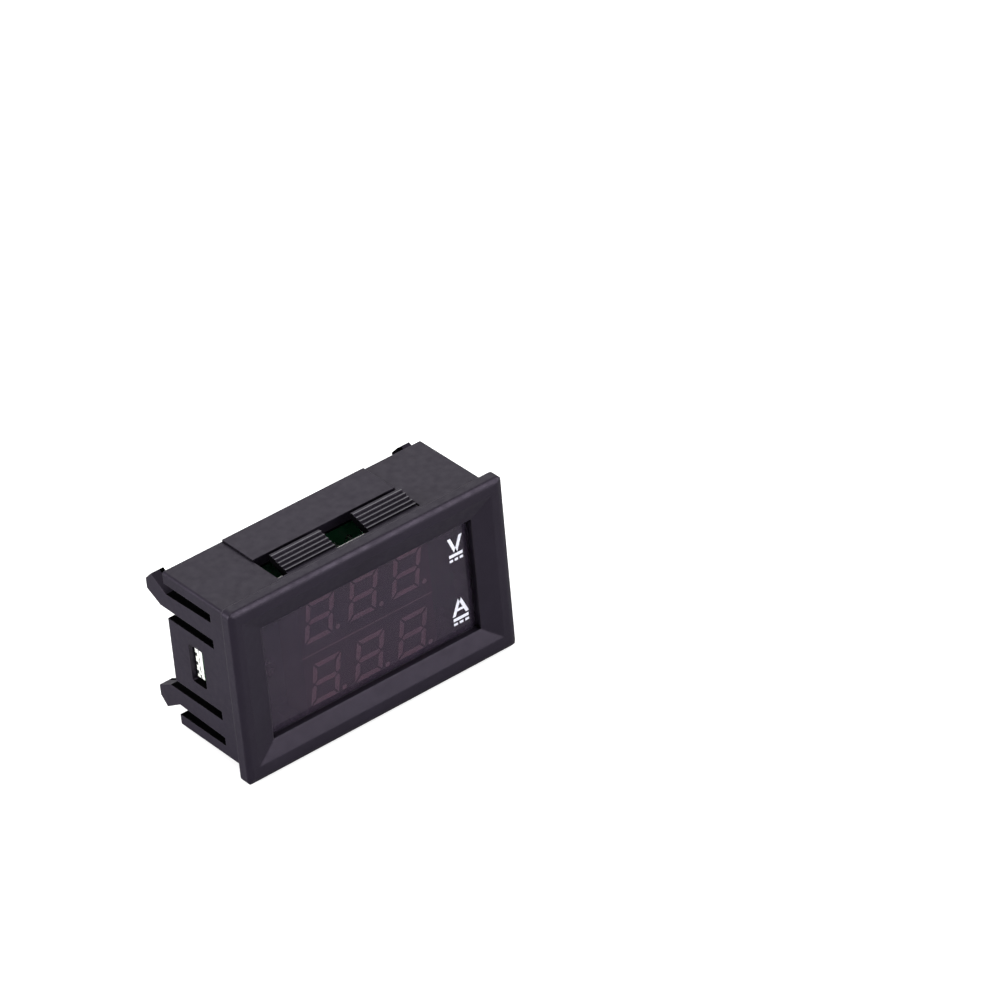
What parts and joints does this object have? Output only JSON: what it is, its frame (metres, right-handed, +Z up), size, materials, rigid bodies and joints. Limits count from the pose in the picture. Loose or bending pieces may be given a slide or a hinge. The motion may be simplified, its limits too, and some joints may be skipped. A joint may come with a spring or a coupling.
{
  "type": "digital panel meter",
  "caption": "Snap-in digital panel meter with stacked voltage and current displays behind a tinted lens, for a rectangular panel cut-out.",
  "frame": {"origin": "centre of the panel cut-out, on the rear plane of the bezel flange", "axes": "+X to the right seen from the front, +Y rearward into the panel, +Z up"},
  "size_m": [0.048, 0.0213, 0.029],
  "materials": {
    "housing_plastic": "satin",
    "lens_tint": "polished",
    "cap_plastic": "satin, with a dark face",
    "resin": "smooth",
    "board_green": "solder mask",
    "connector_plastic": "satin",
    "tinned_metal": "tin plated",
    "solder": "bright",
    "trimmer_ceramic": "matt",
    "shunt_alloy": "drawn wire",
    "chip_black": "matt",
    "capacitor_ceramic": "matt",
    "resistor_glaze": "glazed"
  },
  "bodies": {
    "meter": {"housing": "housing_plastic", "lens": "lens_tint", "display_cap_upper": "cap_plastic", "display_cap_lower": "cap_plastic", "display_resin_upper": "resin", "display_resin_lower": "resin", "display_pins_upper": "tinned_metal", "display_pins_lower": "tinned_metal", "board": "board_green", "signal_header": "connector_plastic", "signal_pins": "tinned_metal", "power_header": "connector_plastic", "power_pins": "tinned_metal", "volts_trimmer_base": "trimmer_ceramic", "amps_trimmer_base": "trimmer_ceramic", "trimmer_terminals": "tinned_metal", "shunt": "shunt_alloy", "controller_chip": "chip_black", "controller_leads": "tinned_metal", "amplifier_chip": "chip_black", "amplifier_leads": "tinned_metal", "regulator_chip": "chip_black", "regulator_leads": "tinned_metal", "diode_body": "chip_black", "diode_leads": "tinned_metal", "chip_capacitors": "capacitor_ceramic", "chip_resistors": "resistor_glaze", "solder_joints": "solder"},
    "volts_rotor": {"volts_trimmer_rotor": "tinned_metal"},
    "amps_rotor": {"amps_trimmer_rotor": "tinned_metal"}
  },
  "joints": [
    {"name": "volts_trim", "type": "hinge", "parent": "meter", "child": "volts_rotor", "pos_m": [0.0116, 0.0115, 0.0054], "axis": [0, 1, 0], "range_deg": [-130, 130]},
    {"name": "amps_trim", "type": "hinge", "parent": "meter", "child": "amps_rotor", "pos_m": [0.0172, 0.0115, 0.0054], "axis": [0, 1, 0], "range_deg": [-130, 130]}
  ]
}
